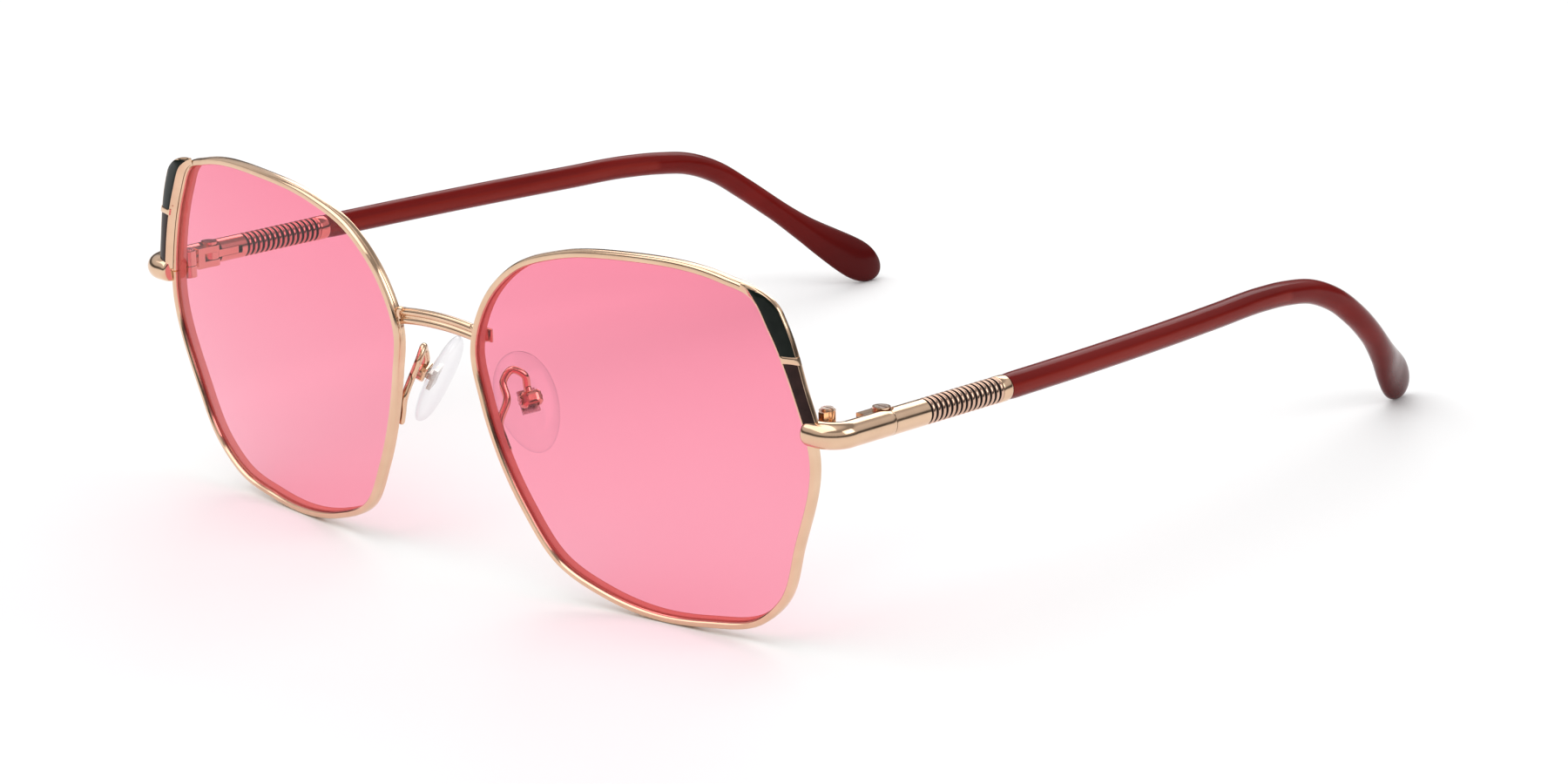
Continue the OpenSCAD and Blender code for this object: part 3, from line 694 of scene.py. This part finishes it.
def ribbed_sleeve():
    y0, y1, count = 7.07, 22.12, 15
    pitch, r = (y1 - y0) / count, FERRULE_R
    # dark is 1 on the groove floors and lower walls, which get painted shade.
    profile, dark = [(1.38, y0)], [0.0]
    for i in range(count):
        y = y0 + i * pitch
        for rr, yy, d in ((r - 0.3, 0, 1), (r - 0.3, 0.38, 1), (r - 0.12, 0.41, 1), (r - 0.06, 0.45, 0),
                          (r - 0.01, 0.56, 0), (r + 0.01, 0.7, 0), (r - 0.01, 0.84, 0), (r - 0.06, 0.95, 0),
                          (r - 0.12, 0.99, 1)):
            profile.append((rr, y + yy))
            dark.append(float(d))
    profile.append((1.38, y1))
    dark.append(0.0)
    return lathe(profile, 80, dark)


put("ribbed_sleeve", ribbed_sleeve(), HINGE_M, RIBBED, "{side}_temple", ["{side}_ribbed_sleeve"],
    50)
COLLAR = [(1.38, 22.14), (1.78, 22.14), (1.84, 22.2), (1.87, 22.35), (1.87, 23.75), (1.84, 23.92),
          (1.78, 23.99), (1.38, 23.99)]
put("collar", lathe(COLLAR), HINGE_M, GOLD, "{side}_temple", ["{side}_collar"], 35)


# ---- temple -------------------------------------------------------------------------------

LAST_S = len(TEMPLE_PATH) - 1


def temple_mesh():
    """Round temple that widens to a paddle; core marks the wire inside it, and tip the darker end."""
    sides = 64
    stations = spread(0, 10.5, 127) + spread(10.58, LAST_S - 0.35, 22) + spread(LAST_S - 0.3, LAST_S, 14)
    rings, core, tip = [], [], []
    for k, s in enumerate(stations):
        grow = ease(9, LAST_S - 1.2, s)
        end = max(0.0, s - (LAST_S - 1.3)) / 1.3
        cap = math.sqrt(max(0.0004, 1 - end * end))
        start = 1 - 0.05 * (1 - ease(0, 0.02, s))
        across = (TEMPLE_R + (3.5 - TEMPLE_R) * grow) * cap * start
        thick = (TEMPLE_R + (1.45 - TEMPLE_R) * grow) * cap * start
        p, d = path_point(TEMPLE_PATH, s), path_direction(TEMPLE_PATH, s)
        b = d.cross(Vector((1, 0, 0))).normalized()
        a = b.cross(d)
        ring, c, t = [], [], []
        for j in range(sides):
            w = 2 * math.pi * j / sides
            ring.append(p + thick * math.cos(w) * a - across * math.sin(w) * b)
            offset = abs(math.sin(w)) * across
            c.append((1 - ease(0.45, 0.95, offset)) * (1 - ease(4.7, 4.95, s)))
            t.append(ease(8.0, 12.0, s))
        rings.append(ring)
        core.append(c)
        tip.append(t)
    mesh = skin(rings, values=core, name="core")
    tips = mesh.attributes.new("tip", "FLOAT", "POINT")
    tips.data.foreach_set("value", [v for row in tip for v in row])
    return mesh


put("temple", temple_mesh(), HINGE_M, ACETATE, "{side}_temple", ["{side}_temple"], 60)


def spring_mesh():
    turns, y0, y1 = 7, 7.17, 14.23
    count = turns * 28
    pts = [Vector((AXIS_X + 0.8 * math.cos(2 * math.pi * k / 28), y0 + (y1 - y0) * k / count,
                   0.8 * math.sin(2 * math.pi * k / 28))) for k in range(count + 1)]
    return tube(pts, [0.15] * len(pts), 10, Vector((0, 1, 0)))


for spring, side in zip(put("hinge_spring", spring_mesh(), HINGE_M, SPRING, "{side}_temple",
                            ["{side}_hinge_spring"]), ("left", "right")):
    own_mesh(spring)


# ---- nose pads ----------------------------------------------------------------------------

def pad_mesh():
    """Lens-shaped pad through (x, share of full size), a little wider towards its top."""
    sides = 64
    angles = [2 * math.pi * j / sides for j in range(sides)]
    layers = [(-1.58, 0.0), (-1.57, 0.2), (-1.5, 0.5), (-1.36, 0.66), (-1.15, 0.8), (-0.85, 0.9),
              (-0.5, 0.965), (-0.1, 0.995), (0.2, 1.0), (0.5, 0.965), (0.78, 0.905), (1.0, 0.82), (1.2, 0.7),
              (1.32, 0.56), (1.4, 0.35), (1.43, 0.15), (1.44, 0.0)]
    rings = []
    for x, k in layers:
        if k == 0:
            rings.append([Vector((x, 0, 0))])
            continue
        w, l = PAD_W / 2 * k, PAD_L / 2 * k
        rings.append([Vector((x, w * (1 + 0.1 * math.cos(a)) * math.sin(a), l * math.cos(a)))
                      for a in angles])
    return skin(rings)


put("nose_pad", pad_mesh(), PAD_M, SILICONE, "{side}_nose_pad", ["{side}_nose_pad"], 80)


def arm_mesh():
    """Wire from a flattened foot on the rim, up and over, and down into the roof of the pad box."""
    from_lens = FRONT_M.inverted() @ LENS_M
    from_pad = FRONT_M.inverted() @ PAD_M
    route = [from_lens @ rim_point(s, 0.52, RIM_BACK + ARM_R + 0.1) for s in (10.54, 10.42, 10.3)]
    route += [Vector(p) for p in ((9.7, 4.3, 27.2), (8.7, 4.7, 29.5), (9.1, 6, 30.9), (10.3, 7.3, 30))]
    route += [from_pad @ Vector((PAD_AXIS_X, -0.1, z)) for z in (1.62, 0.85)]
    count = 150
    places = spread(0, len(route) - 1, count)
    pts = [path_point(route, s) for s in places]
    radii = [ARM_R * (0.55 + 0.45 * min(1, math.sqrt(k / 5))) for k in range(count)]

    def squeeze(k, o):
        flat = 1 - ease(1.2, 2.6, places[k])
        n = Vector((0, 1, 0))
        return (o - n * o.dot(n) * 0.35 * flat) * (1 + 0.18 * flat)
    return tube(pts, radii, 20, squeeze=squeeze)


put("pad_arm", arm_mesh(), FRONT_M, GOLD, "front", ["{side}_pad_arm"], 60)


def pad_box_mesh():
    """Domed box with bevelled corners, slotted underneath for the pad's metal tab."""
    rings = []
    for x, k in ((1.75, 0.8), (1.8, 0.9), (1.95, 0.98), (2.2, 1.0), (2.75, 1.0), (3.1, 0.93), (3.4, 0.78),
                 (3.6, 0.58), (3.68, 0.36)):
        w, h, c = 1.6 * k, 1.15 * k, 0.42 * k
        corners = [(w, -h + c), (w, h - c), (w - c, h), (-w + c, h), (-w, h - c), (-w, -h + c), (-w + c, -h),
                   (w - c, -h)]
        rings.append([Vector((x, y, z)) for y, z in corners])
    return cut(skin(rings), (block((0.75, -0.85, -3), (3.4, 0.85, 0.75)), Matrix()))


put("pad_box", pad_box_mesh(), PAD_M, GOLD, "front", ["{side}_pad_box"], 12)


# ---- CAD nodes that stay ------------------------------------------------------------------

KEPT = {
    "closing_block_upper": GOLD, "closing_block_lower": GOLD, "closing_screw": SCREW, "hinge_leaf": GOLD,
    "hinge_screw": SCREW, "hinge_bush": NYLON, "spring_tongue": GOLD, "spring_rod": SPRING,
    "spring_stop": SPRING, "core_wire": SPRING, "pad_screw": SCREW, "pad_insert": SPRING}
for name, material in KEPT.items():
    for side in ("left", "right"):
        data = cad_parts[f"{side}_{name}"].data
        data.materials.clear()
        data.materials.append(material)


# ---- floor, light and camera --------------------------------------------------------------

def floor():
    """Plain white floor."""
    n = Nodes("floor")
    cloud = n.noise(6.0, 2.0)
    colour = n.ramp(cloud, (0.3, (0.95, 0.95, 0.95)), (0.7, (0.96, 0.96, 0.96)))
    p = n.add("BsdfPrincipled", Base_Color=colour, Roughness=0.6)
    p.inputs["Specular IOR Level"].default_value = 0.2
    m = block((-4000, -4000, -20), (4000, 6000, 0))
    m.transform(Matrix.Scale(MM, 4))
    m.materials.append(n.surface(p))
    o = bpy.data.objects.new("floor", m)
    bpy.context.scene.collection.objects.link(o)


def studio():
    """Bright soft room with a few dark bands, which give the polished metal its contrast."""
    world = bpy.data.worlds.new("studio")
    bpy.context.scene.world = world
    world.use_nodes = True
    nt = world.node_tree
    nt.nodes.clear()
    out = nt.nodes.new("ShaderNodeOutputWorld")
    back = nt.nodes.new("ShaderNodeBackground")
    coord = nt.nodes.new("ShaderNodeTexCoord")
    split = nt.nodes.new("ShaderNodeSeparateXYZ")
    ramp = nt.nodes.new("ShaderNodeValToRGB")
    nt.links.new(coord.outputs["Generated"], split.inputs[0])
    lift = nt.nodes.new("ShaderNodeMapRange")
    lift.inputs["From Min"].default_value = -1.0
    nt.links.new(split.outputs["Z"], lift.inputs["Value"])
    nt.links.new(lift.outputs["Result"], ramp.inputs[0])
    e = ramp.color_ramp.elements
    stops = ((0.0, 1.0), (0.5, 0.92), (0.53, 0.12), (0.60, 0.10), (0.66, 0.9), (0.80, 1.05), (0.86, 0.45),
             (0.93, 0.5), (1.0, 1.3))
    while len(e) < len(stops):
        e.new(0.5)
    for x, (pos, v) in zip(e, stops):
        x.position = pos
        x.color = (v, v, v, 1)
    nt.links.new(ramp.outputs[0], back.inputs["Color"])
    back.inputs["Strength"].default_value = 0.70
    nt.links.new(back.outputs[0], out.inputs[0])


def area(name, place, target, size, power):
    """Soft rectangular light at place, turned to target."""
    light = bpy.data.lights.new(name, "AREA")
    light.shape = "RECTANGLE"
    light.size, light.size_y = size
    light.energy = power
    o = bpy.data.objects.new(name, light)
    o.location = place
    o.rotation_mode = "QUATERNION"
    o.rotation_quaternion = (Vector(target) - Vector(place)).to_track_quat("-Z", "Y")
    bpy.context.scene.collection.objects.link(o)


floor()
studio()
area("key", (-0.3, -0.5, 1.3), (0, 0, 0), (1.8, 1.4), 12.5)
area("fill", (1.2, 0.3, 0.9), (0, 0, 0.03), (0.9, 0.7), 4.5)
area("rear", (-0.6, 1.1, 0.9), (0, 0, 0.03), (1.2, 0.6), 4.5)

# The photograph's viewing angle: from ahead, well to the wearer's left and a little above.
camera = bpy.data.cameras.new("camera")
camera.sensor_width = 36
camera.lens = 101.5
camera.clip_start, camera.clip_end = 0.01, 20
eye = bpy.data.objects.new("camera", camera)
forward = Vector((-0.6561, 0.6955, -0.2931)).normalized()
up = Vector((-0.1814, 0.2316, 0.9557))
right = forward.cross(up).normalized()
up = right.cross(forward)
rotation = Matrix((right, up, -forward)).transposed()
eye.matrix_world = Matrix.Translation((0.4445, -0.47765, 0.2087)) @ rotation.to_4x4()
bpy.context.scene.collection.objects.link(eye)
bpy.context.scene.camera = eye
bpy.context.scene.view_settings.view_transform = "Standard"
